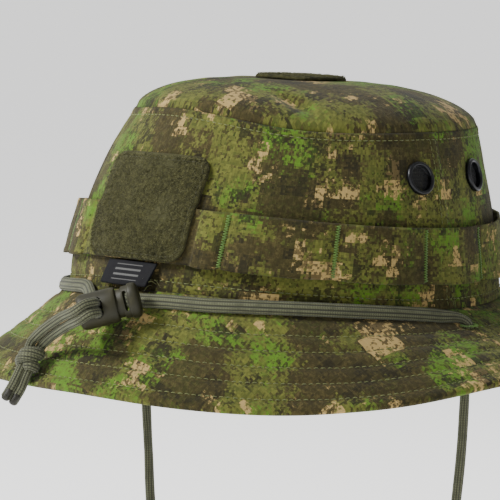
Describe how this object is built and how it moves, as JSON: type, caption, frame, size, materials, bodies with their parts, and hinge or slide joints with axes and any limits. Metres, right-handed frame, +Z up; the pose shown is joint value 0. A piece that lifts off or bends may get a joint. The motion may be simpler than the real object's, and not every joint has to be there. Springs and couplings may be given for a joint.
{
  "type": "boonie hat",
  "caption": "Soft wide-brimmed field hat with vented sides, a looped band for foliage, fastening-loop panels and a chin cord with a cord lock.",
  "frame": {"origin": "centre of the head opening, level with the seam of crown and brim", "axes": "+Z up, through the top of the crown; +Y to the rear of the hat, where the cord lock and the label are; +X to the wearer's left"},
  "size_m": [0.2812, 0.3068, 0.2997],
  "materials": {
    "camo_cloth": "matte printed ripstop cotton and nylon",
    "lining_cloth": "matte twill tape",
    "fill_cloth": "matte non-woven",
    "loop_pile": "fuzzy loop pile",
    "label_cloth": "smooth woven tape",
    "vent_metal": "semi-gloss black",
    "vent_mesh": "matte black",
    "lock_plastic": "satin olive",
    "spring_steel": "bright wire",
    "cord_braid": "braided nylon"
  },
  "bodies": {
    "hat": {"crown_top": "camo_cloth", "crown_rear_panel": "camo_cloth", "crown_front_panel": "camo_cloth", "brim_upper": "camo_cloth", "brim_stiffener": "fill_cloth", "brim_underside": "camo_cloth", "sweatband": "lining_cloth", "foliage_band": "camo_cloth", "rear_loop_panel": "loop_pile", "top_loop_panel": "loop_pile", "label_tag": "label_cloth", "vent_rim_right_rear": "vent_metal", "vent_washer_right_rear": "vent_metal", "vent_screen_right_rear": "vent_mesh", "vent_rim_right_front": "vent_metal", "vent_washer_right_front": "vent_metal", "vent_screen_right_front": "vent_mesh", "vent_rim_left_rear": "vent_metal", "vent_washer_left_rear": "vent_metal", "vent_screen_left_rear": "vent_mesh", "vent_rim_left_front": "vent_metal", "vent_washer_left_front": "vent_metal", "vent_screen_left_front": "vent_mesh", "chin_cord_right": "cord_braid", "chin_cord_left": "cord_braid", "chin_cord_loop": "cord_braid", "chin_cord_knot": "cord_braid", "chin_cord_end_right": "cord_braid", "chin_cord_end_left": "cord_braid"},
    "cord_lock": {"cord_lock_body": "lock_plastic", "cord_lock_spring": "spring_steel"},
    "plunger": {"cord_lock_plunger": "lock_plastic"}
  },
  "joints": [
    {"name": "cord_lock_slide", "type": "slide", "parent": "hat", "child": "cord_lock", "axis": [-0.6063, 0.776, 0.1736], "range_m": [-0.0018, 0.002]},
    {"name": "plunger_press", "type": "slide", "parent": "cord_lock", "child": "plunger", "axis": [0.7223, 0.6288, -0.2879], "range_m": [0, 0.0025], "stiffness_N_per_m": 1200, "springref_m": -0.002, "deforming": ["cord_lock_spring"]}
  ]
}
